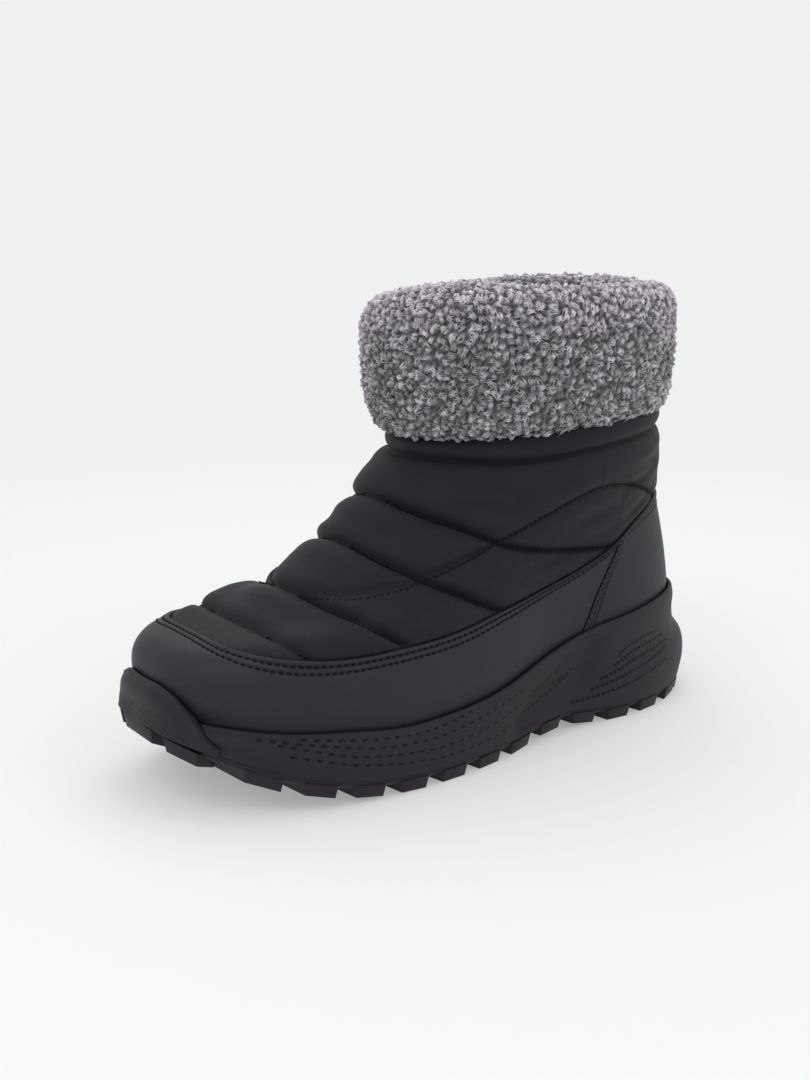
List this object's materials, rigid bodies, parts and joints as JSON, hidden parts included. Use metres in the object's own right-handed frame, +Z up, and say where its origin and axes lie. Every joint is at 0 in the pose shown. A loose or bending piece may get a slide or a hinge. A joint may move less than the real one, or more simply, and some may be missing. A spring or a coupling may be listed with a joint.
{
  "type": "winter boot",
  "caption": "Left ankle-high pull-on winter boot: quilted padded shell, smooth mudguard and heel counter, turned-down fleece cuff, foam midsole, rubber toe bumper and lugged outsole.",
  "frame": {"origin": "middle of the footprint, on the floor under the sole", "axes": "+X to the outer side, +Y from toe to heel, +Z up"},
  "size_m": [0.1151, 0.2742, 0.1906],
  "materials": {
    "sole_rubber": "matte moulded rubber",
    "midsole_foam": "matte moulded foam",
    "insole_felt": "felt",
    "quilted_nylon": "matte quilted nylon",
    "smooth_overlay": "matte coated synthetic",
    "fleece": "curly pile fleece"
  },
  "bodies": {
    "root": {"outsole": "sole_rubber", "midsole": "midsole_foam", "toe_bumper": "sole_rubber", "insole": "insole_felt", "upper": "quilted_nylon", "mudguard": "smooth_overlay", "heel_counter": "smooth_overlay", "cuff": "fleece"}
  },
  "joints": []
}
